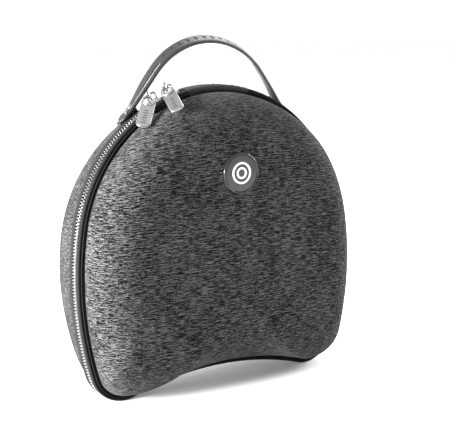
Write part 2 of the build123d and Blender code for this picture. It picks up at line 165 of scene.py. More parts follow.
def rim_frame(distance):
    """Point (x, z), outward normal and crown angle of the rim, `distance` along it from the top.

    The crown angle is None off the crown, which is the first and the last arc.
    """
    distance %= RIM_LENGTH
    for index, ((x, z, radius, start, sweep, sign), length) in enumerate(zip(RIM_ARCS, RIM_ARC_LENGTHS)):
        if distance <= length:
            break
        distance -= length
    angle = math.radians(start + sweep * distance / length)
    radial = np.array([math.cos(angle), math.sin(angle)])
    crown_angle = math.degrees(angle) - 90 if index in (0, 6) else None
    return np.array([x, z]) + radial * radius, radial * sign, crown_angle


# ---- Mesh helpers ----
def make_object(name, vertices, faces, materials, face_materials=None, uvs=None, smooth=True):
    """A mesh object. `uvs` has one (u, v) per vertex."""
    mesh = bpy.data.meshes.new(name)
    mesh.from_pydata([tuple(v) for v in vertices], [], [tuple(f) for f in faces])
    for material in materials:
        mesh.materials.append(material)
    if face_materials is not None:
        mesh.polygons.foreach_set("material_index", face_materials)
    mesh.polygons.foreach_set("use_smooth", [smooth] * len(mesh.polygons))
    if uvs is not None:
        layer = mesh.uv_layers.new(name="cloth")
        loops = np.empty(len(mesh.loops), dtype=np.int32)
        mesh.loops.foreach_get("vertex_index", loops)
        layer.data.foreach_set("uv", np.asarray(uvs, dtype=np.float32)[loops].ravel())
    mesh.update()
    piece = bpy.data.objects.new(name, mesh)
    bpy.context.collection.objects.link(piece)
    return piece


def fix_normals(piece):
    """Turns all faces of a closed mesh outwards."""
    work = bmesh.new()
    work.from_mesh(piece.data)
    bmesh.ops.recalc_face_normals(work, faces=work.faces)
    work.to_mesh(piece.data)
    work.free()
    return piece


def add_bevel(piece, width):
    bevel = piece.modifiers.new("bevel", "BEVEL")
    bevel.width = width
    bevel.segments = 3
    bevel.limit_method = "ANGLE"
    bevel.angle_limit = math.radians(35)


def tube_faces(rings, count):
    """Quads between consecutive rings of `count` points."""
    faces = []
    for first in range(0, (rings - 1) * count, count):
        for side in range(count):
            beside = (side + 1) % count
            faces.append((first + side, first + beside, first + count + beside, first + count + side))
    return faces


def capped_tube(rings, count):
    """The faces of a tube with both ends closed."""
    last = (rings - 1) * count
    return tube_faces(rings, count) + [tuple(range(count))[::-1], tuple(range(last, last + count))]


def sweep_rim(name, profile, material, start, end, step=1.5 * MM, ripple=None):
    """Sweeps a closed profile of (y from the zip plane, height above the rim) along the rim.

    `ripple` gives an extra height for (distance, y).
    """
    count = max(8, int(round((end - start) / step)))
    distances = start + (end - start) * np.arange(count + 1) / count
    profile = np.asarray(profile)
    around = np.concatenate([[0], np.cumsum(np.linalg.norm(np.diff(profile, axis=0), axis=1))])
    vertices, uvs = [], []
    for distance in distances:
        point, normal, _ = rim_frame(distance)
        for (y, height), v in zip(profile, around):
            lift = height + (ripple(distance, y) if ripple else 0.0)
            vertices.append((point[0] + normal[0] * lift, ZIP_Y + y, point[1] + normal[1] * lift))
            uvs.append((distance, v))
    faces = capped_tube(len(distances), len(profile))
    return fix_normals(make_object(name, vertices, faces, [material], uvs=uvs))


def rounded_profile(y_low, y_high, low, high, radius, steps=5):
    """A rectangle with rounded corners, as (y, height) points."""
    points = []
    corners = ((y_high - radius, high - radius, 0), (y_low + radius, high - radius, 90),
               (y_low + radius, low + radius, 180), (y_high - radius, low + radius, 270))
    for y, height, first in corners:
        for step in range(steps + 1):
            angle = math.radians(first + 90 * step / steps)
            points.append((y + radius * math.cos(angle), height + radius * math.sin(angle)))
    return points


# ---- Material helpers ----
class Nodes:
    """A small helper for writing shader node trees."""

    def __init__(self, name):
        self.material = bpy.data.materials.new(name)
        self.material.use_nodes = True
        self.tree = self.material.node_tree
        self.shader = self.tree.nodes["Principled BSDF"]

    def feed(self, socket, value):
        if isinstance(value, bpy.types.NodeSocket):
            self.tree.links.new(value, socket)
        else:
            socket.default_value = value

    def math(self, operation, a, b):
        node = self.tree.nodes.new("ShaderNodeMath")
        node.operation = operation
        self.feed(node.inputs[0], a)
        self.feed(node.inputs[1], b)
        return node.outputs[0]

    def mix(self, share, a, b):
        node = self.tree.nodes.new("ShaderNodeMix")
        node.data_type = "RGBA"
        self.feed(node.inputs[0], share)
        self.feed(node.inputs[6], a)
        self.feed(node.inputs[7], b)
        return node.outputs[2]

    def ramp(self, value, low, high, to_low=0.0, to_high=1.0):
        node = self.tree.nodes.new("ShaderNodeMapRange")
        self.feed(node.inputs[0], value)
        for index, number in enumerate((low, high, to_low, to_high)):
            self.feed(node.inputs[index + 1], number)
        return node.outputs[0]

    def place(self, kind="UV", scale=(1, 1, 1), turn=0.0):
        """Texture coordinates in metres, scaled, so that scale 1000 counts millimetres."""
        if kind == "UV":
            source = self.tree.nodes.new("ShaderNodeUVMap")
            source.uv_map = "cloth"
            vector = source.outputs[0]
        else:
            vector = self.tree.nodes.new("ShaderNodeTexCoord").outputs["Object"]
        mapping = self.tree.nodes.new("ShaderNodeMapping")
        mapping.inputs["Scale"].default_value = scale
        mapping.inputs["Rotation"].default_value = (0, 0, math.radians(turn))
        self.tree.links.new(vector, mapping.inputs[0])
        return mapping.outputs[0]

    def noise(self, vector, detail=2.0, roughness=0.5, distortion=0.0):
        node = self.tree.nodes.new("ShaderNodeTexNoise")
        self.feed(node.inputs["Vector"], vector)
        for key, value in (("Scale", 1.0), ("Detail", detail), ("Roughness", roughness),
                           ("Distortion", distortion)):
            node.inputs[key].default_value = value
        return node.outputs[0]

    def voronoi(self, vector, feature="F1", randomness=1.0):
        node = self.tree.nodes.new("ShaderNodeTexVoronoi")
        node.feature = feature
        self.feed(node.inputs["Vector"], vector)
        node.inputs["Scale"].default_value = 1.0
        node.inputs["Randomness"].default_value = randomness
        return node.outputs["Distance"]

    def wave(self, vector, period, direction, distortion=0.0, detail=0.0):
        """Sine bands `period` millimetres apart."""
        node = self.tree.nodes.new("ShaderNodeTexWave")
        node.bands_direction = direction
        self.feed(node.inputs["Vector"], vector)
        for key, value in (("Scale", math.tau / 20 / (period * MM)), ("Distortion", distortion),
                           ("Detail", detail), ("Detail Scale", 1.0)):
            node.inputs[key].default_value = value
        return node.outputs[1]

    def bump(self, height, distance, strength=1.0, under=None):
        node = self.tree.nodes.new("ShaderNodeBump")
        node.inputs["Strength"].default_value = strength
        node.inputs["Distance"].default_value = distance
        self.feed(node.inputs["Height"], height)
        if under is not None:
            self.feed(node.inputs["Normal"], under)
        return node.outputs[0]

    def finish(self, **sockets):
        for key, value in sockets.items():
            self.feed(self.shader.inputs[key.replace("_", " ")], value)
        return self.material


def grey(value):
    return (value, value, value, 1.0)


# ---- Materials ----
def knit_material(name, dark, light):
    """Heathered knit: courses along u with light and dark yarn streaks, and a fine stitch relief whose
    hollows are darkened as painted shade.
    """
    n = Nodes(name)
    streak = n.noise(n.place(scale=(190, 1400, 1)), detail=3.0, roughness=0.65, distortion=0.2)
    long_streak = n.noise(n.place(scale=(80, 1200, 1)), detail=2.0, roughness=0.5)
    fleck = n.noise(n.place(scale=(600, 1300, 1)), detail=1.0)
    cloud = n.noise(n.place(scale=(28, 28, 1)), detail=2.0)
    course = n.wave(n.place(), 1.5, direction="Y")
    wale = n.wave(n.place(), 1.3, direction="X")
    heather = n.math("ADD", n.math("MULTIPLY", streak, 0.55), n.math("MULTIPLY", long_streak, 0.33))
    heather = n.math("ADD", heather, n.math("MULTIPLY", fleck, 0.22))
    heather = n.math("ADD", heather, n.math("MULTIPLY", n.math("SUBTRACT", cloud, 0.5), 0.08))
    share = n.ramp(heather, 0.505, 0.63)
    lit = n.math("POWER", share, 1.3)
    yarn = n.mix(lit, grey(dark), grey(light))
    # Painted shade: the colour darkens in the hollows between courses and wales, where the relief is low.
    hollow_shade = n.math("MULTIPLY", n.ramp(course, 0.0, 0.35), n.ramp(wale, 0.0, 0.25, 0.75, 1.0))
    colour = n.mix(n.ramp(hollow_shade, 0.0, 1.0, 0.45, 0.0), yarn, grey(dark * 0.35))
    relief = n.math("ADD", n.math("MULTIPLY", course, 0.6), n.math("MULTIPLY", wale, 0.25))
    relief = n.math("ADD", relief, n.math("MULTIPLY", streak, 0.5))
    normal = n.bump(relief, 0.00035, strength=0.8)
    fuzz = n.noise(n.place(scale=(3500, 3500, 1)), detail=2.0)
    normal = n.bump(fuzz, 0.00008, strength=0.5, under=normal)
    return n.finish(Base_Color=colour, Roughness=0.95, Normal=normal, Sheen_Weight=0.06,
                    Sheen_Roughness=0.4, Specular_IOR_Level=0.1)


def twill_material(name, dark, light):
    """Dense twill with diagonal ribs."""
    n = Nodes(name)
    rib = n.wave(n.place(turn=38), 1.1, direction="X", distortion=0.6, detail=1.0)
    thread = n.noise(n.place(scale=(1900, 700, 1)), detail=2.0)
    wear = n.noise(n.place(scale=(60, 60, 1)), detail=3.0)
    share = n.math("ADD", n.math("MULTIPLY", rib, 0.6), n.math("MULTIPLY", thread, 0.3))
    share = n.math("ADD", share, n.math("MULTIPLY", wear, 0.15))
    colour = n.mix(n.ramp(share, 0.2, 0.95), grey(dark), grey(light))
    normal = n.bump(share, 0.00025, strength=0.8)
    return n.finish(Base_Color=colour, Roughness=0.85, Normal=normal, Sheen_Weight=0.05,
                    Sheen_Roughness=0.4, Specular_IOR_Level=0.15)


def tape_material(name):
    """Black woven zip tape."""
    n = Nodes(name)
    weft = n.wave(n.place(), 0.8, direction="X")
    warp = n.wave(n.place(), 1.1, direction="Y")
    weave = n.math("MULTIPLY", weft, warp)
    colour = n.mix(weave, grey(0.004), grey(0.014))
    return n.finish(Base_Color=colour, Roughness=0.9, Normal=n.bump(weave, 0.00012),
                    Specular_IOR_Level=0.2)


def metal_material(name, base, roughness):
    """Polished nickel with faint wear."""
    n = Nodes(name)
    smear = n.noise(n.place("Object", scale=(900, 900, 900)), detail=3.0)
    scratch = n.noise(n.place("Object", scale=(400, 5200, 5200)), detail=1.0)
    colour = n.mix(smear, grey(base * 0.86), grey(min(1.0, base * 1.08)))
    rough = n.ramp(n.math("ADD", n.math("MULTIPLY", smear, 0.6), n.math("MULTIPLY", scratch, 0.4)),
                   0.3, 0.7, roughness * 0.7, roughness * 1.4)
    return n.finish(Base_Color=colour, Metallic=1.0, Roughness=rough,
                    Normal=n.bump(scratch, 0.00001, strength=0.35))


def leather_material(name, base, roughness):
    """Smooth grained leather, with painted shade darkening the grain's creases."""
    n = Nodes(name)
    grain = n.voronoi(n.place("Object", scale=(1500, 1500, 1500)), feature="DISTANCE_TO_EDGE")
    pore = n.noise(n.place("Object", scale=(2600, 2600, 2600)), detail=2.0)
    tone = n.noise(n.place("Object", scale=(90, 90, 90)), detail=3.0)
    colour = n.mix(tone, grey(base * 0.75), grey(base * 1.25))
    # Painted shade: the colour darkens along the grain's creases, where the relief is low.
    colour = n.mix(n.ramp(grain, 0.0, 0.12, 0.4, 0.0), colour, grey(base * 0.4))
    relief = n.math("ADD", n.ramp(grain, 0.0, 0.2), n.math("MULTIPLY", pore, 0.5))
    rough = n.ramp(tone, 0.3, 0.7, roughness * 0.85, roughness * 1.15)
    return n.finish(Base_Color=colour, Roughness=rough, Normal=n.bump(relief, 0.00006, strength=0.6),
                    Specular_IOR_Level=0.5)


def plastic_material(name, base, roughness, grain=0.00003):
    """Moulded plastic with a fine texture."""
    n = Nodes(name)
    fine = n.noise(n.place("Object", scale=(2200, 2200, 2200)), detail=2.0)
    broad = n.noise(n.place("Object", scale=(60, 60, 60)), detail=2.0)
    colour = n.mix(broad, grey(base * 0.85), grey(base * 1.15))
    rough = n.ramp(fine, 0.3, 0.7, roughness * 0.9, roughness * 1.1)
    return n.finish(Base_Color=colour, Roughness=rough, Normal=n.bump(fine, grain, strength=0.5))


def plush_material(name, base):
    """Short-pile lining."""
    n = Nodes(name)
    pile = n.noise(n.place("Object", scale=(1700, 1700, 1700)), detail=3.0, roughness=0.7)
    brush = n.noise(n.place("Object", scale=(70, 70, 70)), detail=3.0)
    colour = n.mix(n.math("ADD", n.math("MULTIPLY", pile, 0.5), n.math("MULTIPLY", brush, 0.5)),
                   grey(base * 0.5), grey(base * 1.6))
    return n.finish(Base_Color=colour, Roughness=0.95, Normal=n.bump(pile, 0.0003, strength=0.7),
                    Sheen_Weight=0.6, Sheen_Roughness=0.35, Specular_IOR_Level=0.15)


def net_material(name):
    """Elastic net: round holes in a web of yarn."""
    n = Nodes(name)
    cell = n.voronoi(n.place("Object", scale=(420, 420, 420)), randomness=0.15)
    yarn = n.ramp(cell, 0.34, 0.42)
    thread = n.noise(n.place("Object", scale=(3000, 3000, 3000)))
    colour = n.mix(thread, grey(0.012), grey(0.05))
    n.material.blend_method = "HASHED"
    return n.finish(Base_Color=colour, Roughness=0.8, Alpha=yarn, Normal=n.bump(cell, 0.0002))


knit_front = knit_material("knit_front", 0.0008, 0.118)
knit_back = knit_material("knit_back", 0.0015, 0.1)
twill = twill_material("edge_twill_look", 0.002, 0.016)
band_twill = twill_material("binding_twill_look", 0.004, 0.02)
hinge_weave = twill_material("hinge_weave_look", 0.008, 0.06)
tape = tape_material("zip_tape_look")
zip_metal = metal_material("zip_metal_look", 0.4, 0.36)
pull_metal = metal_material("pull_metal_look", 0.42, 0.26)
plate_metal = metal_material("pull_plate_look", 0.3, 0.36)
strap_leather = leather_material("strap_leather_look", 0.018, 0.36)
strap_ridge = leather_material("strap_ridge_look", 0.32, 0.4)
strap_edge = leather_material("strap_edge_look", 0.02, 0.5)
groove_black = leather_material("strap_groove_look", 0.01, 0.5)
# Near black: partly the shell's own dark colour, partly painted shade, so that the collar between the piping
# and the front fabric reads as the shaded gap there.
shade_dark_eva = plastic_material("eva_dark_painted_shade_look", 0.005, 0.95, grain=0.00012)
badge_plastic = plastic_material("badge_disc_look", 0.045, 0.42)
badge_gloss = plastic_material("badge_rim_look", 0.02, 0.18, grain=0.00001)
badge_white = plastic_material("badge_mark_look", 0.82, 0.4, grain=0.00001)
pad_rubber = plastic_material("strap_pad_look", 0.02, 0.6)
lining_plush = plush_material("lining_look", 0.035)
net = net_material("net_look")


# ---- Fabric covers ----
ROUND_STEPS = 36
FACE_STEPS = 30
FACE_CENTRE_Z = HEIGHT * 0.47
SIDE_FULLNESS = {FRONT: 0.45, BACK: 0.0}
FACE_DRAW = 0.78
FACE_DRAW_TOP = 120 * MM
FACE_DRAW_FADE = 62 * MM
COVER = 0.9 * MM
SHELL_UNDER = 1.2 * MM
SHELL_DRAW = 1.6 * MM
SHELL_THICKNESS = 3.9 * MM
COLLAR_INSET = 2.3 * MM
COLLAR_REACH = (0.6 * MM, 7.0 * MM)


def wall_station(total, share, fullness):
    """Depth and blend per outline point. `fullness` above 1 makes the wall straighter."""
    angle = math.radians(90 * share)
    return (EDGE_DEPTH + (total - EDGE_DEPTH) * math.sin(angle) ** (1 / fullness),
            1 - math.cos(angle) ** (1 / fullness))


BLEND_LEVELS = np.linspace(0, 1, 41)


def blend_table(side):
    """Outlines from the rim to the face. The front's face is drawn in at its sides, below the crown."""
    table = [outline_points(level) for level in BLEND_LEVELS]
    if side == BACK:
        return table
    drawn_in = (1 - FACE_DRAW) * (1 - smooth_step((table[-1][0][:, 1] - FACE_DRAW_TOP) / FACE_DRAW_FADE))
    return [(points * np.column_stack([1 - drawn_in * level, np.ones(len(points))]), normals)
            for level, (points, normals) in zip(BLEND_LEVELS, table)]


def blended_outline(table, blend, inset):
    """Outline points and normals where every point has a blend and an inset of its own."""
    place = np.clip(blend, 0, 1) * (len(table) - 1)
    low = np.minimum(place.astype(int), len(table) - 2)
    share = (place - low)[:, None]
    index = np.arange(len(blend))
    points, normals = np.array([level[0] for level in table]), np.array([level[1] for level in table])
    point = points[low, index] * (1 - share) + points[low + 1, index] * share
    normal = normals[low, index] * (1 - share) + normals[low + 1, index] * share
    return point - normal * inset[:, None], normal


def ring_at(points, depth):
    """The (x, z) points as (x, y, z), `depth` behind the zip plane, which is one value or one per point."""
    return np.column_stack([points[:, 0], ZIP_Y + depth * np.ones(len(points)), points[:, 1]])


def dome_rings(side, total):
    """Rings of a dome from its edge to the face's middle, with the cloth coordinates of every point.

    The cloth runs level along the side walls and folds over at the top and bottom.
    """
    table = blend_table(side)
    face_points, face_normals = table[-1]
    fullness = 1 + SIDE_FULLNESS[side] * face_normals[:, 0] ** 2
    rings, cloth = [], []
    for step in range(ROUND_STEPS + 1):
        depth, blend = wall_station(total, step / ROUND_STEPS, fullness)
        points, normals = blended_outline(table, blend, EDGE_INSET * (1 - blend))
        rings.append(ring_at(points, side * depth))
        cloth.append(points + normals * np.abs(normals) * (total - depth)[:, None])
    centre = np.array([0.0, FACE_CENTRE_Z])
    for step in range(1, FACE_STEPS + 1):
        points = mix(face_points, centre, step / FACE_STEPS)
        rings.append(ring_at(points, side * total))
        cloth.append(points)
    return rings, cloth


def dome_object(name, side, rings, cloth, materials, thickness):
    """A closed dome out of rings; the last ring shrinks to one point."""
    count = len(rings[0])
    vertices = np.vstack(rings[:-1] + [rings[-1][:1]])
    uvs = np.vstack(cloth[:-1] + [cloth[-1][:1]])
    faces = tube_faces(len(rings) - 1, count)
    last = (len(rings) - 2) * count
    faces += [(last + i, last + (i + 1) % count, len(vertices) - 1) for i in range(count)]
    piece = make_object(name, vertices, faces, materials, uvs=uvs)
    if side == BACK:
        piece.data.flip_normals()
    solid = piece.modifiers.new("thickness", "SOLIDIFY")
    solid.thickness = thickness
    solid.offset = -1
    solid.material_offset = len(materials) - 1
    return piece


def fabric_cover(name, side, total, material):
    """The fabric skin, with its raw edge turned in."""
    rings, cloth = dome_rings(side, total)
    edge_points, edge_normals = outline_points(0.0, EDGE_INSET + COVER)
    rings.insert(0, np.column_stack([edge_points[:, 0], rings[0][:, 1], edge_points[:, 1]]))
    cloth.insert(0, cloth[0] + edge_normals * COVER)
    return dome_object(name, side, rings, cloth, [material], COVER)


def moulded_shell(name, side, total):
    """The stiff shell under the fabric, with the lining inside and a collar up to the zip tape. Its
    near-black outside is partly the shell's own dark colour and partly painted shade for the gap between the
    piping and the fabric.
    """
    rings, cloth = dome_rings(side, total - SHELL_UNDER)
    edge_points, _ = outline_points(0.0, COLLAR_INSET)
    rings = [ring_at(edge_points, side * depth) for depth in COLLAR_REACH] + rings
    cloth = [cloth[0], cloth[0]] + cloth
    middle = np.array([0.0, 0.0, HEIGHT / 2])
    shrunk = []
    for ring in rings:
        away = ring - middle
        away[:, 1] = 0
        reach = np.maximum(np.linalg.norm(away, axis=1), 20 * MM)[:, None]
        shrunk.append(ring - away / reach * SHELL_DRAW)
    return dome_object(name, side, shrunk, cloth, [shade_dark_eva, lining_plush], SHELL_THICKNESS)


def build_covers():
    for half, side, total, knit, body in (("front", FRONT, FRONT_DEPTH, knit_front, "lid"),
                                          ("back", BACK, BACK_DEPTH, knit_back, "base")):
        piece = fabric_cover(half + "_cover_cloth", side, total, knit)
        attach(piece, body)
        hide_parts(half + "_fabric_cover")
    shell = moulded_shell("front_moulded_shell", FRONT, FRONT_DEPTH)
    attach(shell, "lid")
    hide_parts("front_shell", "front_lining")


# ---- Edge trims ----
def crown_distance(angle):
    """Distance along the rim, from the top towards the left, at an angle from the top."""
    return math.radians(angle) * CROWN_RADIUS


TRIM_FRONT = -7.7 * MM
TRIM_BACK = 8.7 * MM
TRIM_INNER = 3.2 * MM
PIPING_PROFILE = rounded_profile(TRIM_FRONT, -TRIM_INNER, -2.6 * MM, -0.15 * MM, 1.15 * MM)
BINDING_PROFILE = rounded_profile(TRIM_INNER, TRIM_BACK, -2.65 * MM, -1.1 * MM, 0.55 * MM)


def build_trims():
    """The piping, the binding and the zip tapes, from one end of the hinge round to the other."""
    hinge_left = crown_distance(HINGE_HALF_ANGLE - CROWN_TURN + 0.1)
    hinge_right = RIM_LENGTH - crown_distance(HINGE_HALF_ANGLE + CROWN_TURN + 0.1)
    piping = sweep_rim("front_piping_twill", PIPING_PROFILE, twill, hinge_left, hinge_right)
    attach(piping, "lid")
    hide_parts("front_edge_piping")
    binding = sweep_rim("back_binding_twill", BINDING_PROFILE, band_twill, hinge_left, hinge_right)
    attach(binding, "base")
    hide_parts("back_edge_binding")
    for side, node, body in ((FRONT, "zip_tape_front", "lid"), (BACK, "zip_tape_back", "base")):
        low, high = sorted((side * 0.5 * MM, side * 8.6 * MM))
        profile = rounded_profile(low, high, -3.5 * MM, -2.75 * MM, 0.2 * MM, steps=2)
        piece = sweep_rim(node + "_weave", profile, tape, hinge_left, hinge_right)
        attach(piece, body)
        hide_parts(node)


HINGE_STEPS = 24
HINGE_LOW = -5.0 * MM
HINGE_WAVES = 5


def build_hinge():
    """The ribbed fabric hinge between the two halves."""
    left = crown_distance(HINGE_HALF_ANGLE - CROWN_TURN)
    right = -crown_distance(HINGE_HALF_ANGLE + CROWN_TURN)
    draws = random.Random(7)
    waves = [(draws.uniform(0.55, 1.3) * MM, draws.uniform(0, math.tau), draws.uniform(0.5, 1.0))
             for _ in range(HINGE_WAVES)]

    def ripple(distance, y):
        middle = max(0.0, 1 - ((y + 0.5 * MM) / (7.6 * MM)) ** 4)
        total = sum(weight * math.sin(distance / wavelength + phase + y / (2.6 * MM))
                    for wavelength, phase, weight in waves)
        return 0.16 * MM * total * middle

    profile = []
    for step in range(HINGE_STEPS + 1):
        y = mix(TRIM_FRONT, TRIM_BACK, step / HINGE_STEPS)
        edge = min(y - TRIM_FRONT, TRIM_BACK - y)
        rounding = 1.6 * MM * (1 - min(1.0, edge / (2.2 * MM))) ** 2
        profile.append((y, 0.2 * MM - rounding))
    profile += [(TRIM_BACK, HINGE_LOW), (TRIM_FRONT, HINGE_LOW)]
    piece = sweep_rim("hinge_ribbed_cloth", profile, hinge_weave, right, left, step=0.45 * MM, ripple=ripple)
    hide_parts("hinge_band")
    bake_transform(piece)


# ---- Zip teeth ----
TOOTH_OUTER = 3.1 * MM
TOOTH_NECK = 0.95 * MM
TOOTH_CHAMFER = 0.18 * MM


def tooth_shape(side, parted):
    """One cast tooth as (along, y, height) points and faces: a flat clamp with a waisted head.

    A section is its y and, in mm, half its length along the zip, its height and its drop.
    """
    tip = 0.6 * MM if parted else -0.3 * MM
    sections = ((TOOTH_OUTER, 0.42, 1.5, 1.2), (TOOTH_OUTER - 0.35 * MM, 0.52, 1.8, 0.9),
                (1.7 * MM, 0.52, 2.0, 0.7), (TOOTH_NECK, 0.38, 1.8, 0.85),
                (mix(TOOTH_NECK, tip, 0.55), 0.52, 1.9, 0.75), (tip + 0.25 * MM, 0.5, 1.8, 0.8),
                (tip, 0.34, 1.4, 1.0))
    vertices = []
    for y, half, tall, drop in sections:
        half *= MM
        inner = half - TOOTH_CHAMFER
        top = -drop * MM
        low = top - tall * MM
        ring = ((half, low + TOOTH_CHAMFER), (half, top - TOOTH_CHAMFER), (inner, top), (-inner, top),
                (-half, top - TOOTH_CHAMFER), (-half, low + TOOTH_CHAMFER), (-inner, low), (inner, low))
        vertices += [(along, side * y, height) for along, height in ring]
    return vertices, capped_tube(len(sections), len(ring))


def build_teeth():
    """Both rows of teeth, outside the hinge. Along the lower slider's travel they stand parted."""
    travel_end = SLIDER_B_ANGLE + SLIDER_B_TRAVEL + 4
    for side, node, body, offset in ((FRONT, "zip_teeth_front", "lid", 0.0),
                                     (BACK, "zip_teeth_back", "base", TOOTH_PITCH / 2)):
        vertices, faces = [], []
        distance = offset
        while distance < RIM_LENGTH:
            point, normal, angle = rim_frame(distance)
            distance += TOOTH_PITCH
            if angle is not None and -ZIP_RIGHT_END_ANGLE - CROWN_TURN < angle <= SLIDER_B_ANGLE + 3.2:
                continue
            parted = angle is not None and 0 < angle < travel_end
            shape, shape_faces = tooth_shape(side, parted)
            along = np.array([-normal[1], normal[0]])
            first = len(vertices)
            for step, y, height in shape:
                spot = point + along * step + normal * height
                vertices.append((spot[0], ZIP_Y + y, spot[1]))
            faces += [tuple(first + i for i in face) for face in shape_faces]
        piece = fix_normals(make_object(node + "_cast", vertices, faces, [zip_metal], smooth=False))
        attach(piece, body)
        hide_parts(node)


# ---- Strap handle ----
STRAP_STEP = 0.5 * MM
STRAP_LIFT = 0.4 * MM
STRAP_LIE_ANGLE = STRAP_BEND_ANGLE + 2.4
STRAP_COLUMNS = 25
STRAP_FLAT_END = 13 * MM
LEG_START = 48 * MM
MARK_END = 43 * MM
MARK_PITCH = 7.4 * MM
LEATHER, RIDGE, GROOVE = 0, 1, 2


def crown_point(angle, lift):
    """(x, z) above the crown, `angle` degrees from the top towards the right."""
    reach = CROWN_RADIUS + lift
    turn = math.radians(angle)
    return np.array([reach * math.sin(turn), CROWN_CENTRE_Z + reach * math.cos(turn)])


def strap_path():
    """The strap's inner line from the right tip over the arch to the left tip, as (x, z) points.

    A quadratic bend eases the straight leg into the riveted end that lies along the crown.
    """
    turn = math.radians(STRAP_ARCH_ANGLE)
    centre_z = STRAP_TOP - STRAP_RADIUS
    shoulder = np.array([STRAP_RADIUS * math.sin(turn), centre_z + STRAP_RADIUS * math.cos(turn)])
    down = np.array([math.cos(turn), -math.sin(turn)])
    bend = crown_point(STRAP_BEND_ANGLE, STRAP_LIFT)
    leg_length = np.dot(bend - shoulder, down)
    leg_end = shoulder + down * (leg_length - 9 * MM)
    lie_start = crown_point(STRAP_LIE_ANGLE, STRAP_LIFT)
    points = [crown_point(angle, STRAP_LIFT) for angle in np.linspace(STRAP_TIP_ANGLE, STRAP_LIE_ANGLE, 9)]
    for share in np.linspace(0, 1, 14)[1:]:
        points.append((1 - share) ** 2 * lie_start + 2 * share * (1 - share) * (shoulder + down * leg_length)
                      + share ** 2 * leg_end)
    for share in np.linspace(0, 1, 14)[1:]:
        points.append(mix(leg_end, shoulder, share))
    for angle in np.radians(np.linspace(STRAP_ARCH_ANGLE, 0, 40)[1:]):
        points.append(np.array([STRAP_RADIUS * math.sin(angle), centre_z + STRAP_RADIUS * math.cos(angle)]))
    right = np.array(points)
    left = right[-2::-1] * np.array([-1, 1])
    turn = math.radians(CROWN_TURN)
    x, z = np.vstack([right, left]).T
    z = z - CROWN_CENTRE_Z
    return np.column_stack([x * math.cos(turn) + z * math.sin(turn),
                            CROWN_CENTRE_Z - x * math.sin(turn) + z * math.cos(turn)])


def resample(path, step):
    """Points about `step` apart along the path, and their distances along it."""
    lengths = np.concatenate([[0], np.cumsum(np.linalg.norm(np.diff(path, axis=0), axis=1))])
    count = int(round(lengths[-1] / step))
    places = np.linspace(0, lengths[-1], count + 1)
    return np.column_stack([np.interp(places, lengths, path[:, i]) for i in range(2)]), places


def strap_section(width, thickness):
    """The strap's cross-section as (across, up) points, with rounded edges of three points each."""
    across = (np.linspace(0, 1, STRAP_COLUMNS) - 0.5) * (width - 0.9 * MM)
    top = [(value, thickness) for value in across]
    right_edge = [(width / 2 - 0.12 * MM, thickness - 0.35 * MM), (width / 2, thickness / 2),
                  (width / 2 - 0.12 * MM, 0.35 * MM)]
    low = [(value, 0.0) for value in across[::-1]]
    left_edge = [(-x, y) for x, y in right_edge[::-1]]
    return top + right_edge + low + left_edge


def strap_relief(across, up, along, on_leg):
    """Height to add to the strap's surface and its look, `along` from the middle of the arch."""
    channel = max(0.0, 1 - abs(across + 1.7 * MM) / (0.95 * MM))
    ridge = max(0.0, 1 - abs(across + 3.2 * MM) / (0.6 * MM))
    groove = GROOVE if channel > 0.2 else LEATHER
    if up == 0.0 and on_leg:
        return 0.6 * MM * min(1.0, 1.6 * channel), groove
    if up != STRAP_THICKNESS:
        return 0.0, LEATHER
    height, look = 0.0, LEATHER
    if on_leg:
        height = 0.25 * MM * ridge - 0.75 * MM * min(1.0, 1.6 * channel)
        look = RIDGE if ridge > 0.2 else groove
    mark = abs((along / MARK_PITCH) % 1 - 0.5) * MARK_PITCH / (2.3 * MM) + abs(across) / (2.9 * MM)
    if abs(along) < MARK_END and mark < 1:
        height -= 0.45 * MM * min(1.0, 3 - 3 * mark)
        look = GROOVE
    if abs(across) > STRAP_WIDTH / 2 - 1.1 * MM:
        height -= 0.25 * MM
    return height, look


def strap_face_material(face, looks, count):
    """Material slot of a strap face: 0 leather, 1 cut edge and ends, 2 ridge, 3 groove."""
    second_edge = 2 * STRAP_COLUMNS + 2
    columns = [index % count for index in face]
    edge = all(STRAP_COLUMNS - 1 <= c <= STRAP_COLUMNS + 3 or c >= second_edge or c == 0 for c in columns)
    if edge or len(face) > 4:
        return 1
    face_looks = {looks[index] for index in face}
    look = face_looks.pop() if len(face_looks) == 1 else LEATHER
    return {LEATHER: 0, RIDGE: 2, GROOVE: 3}[look]


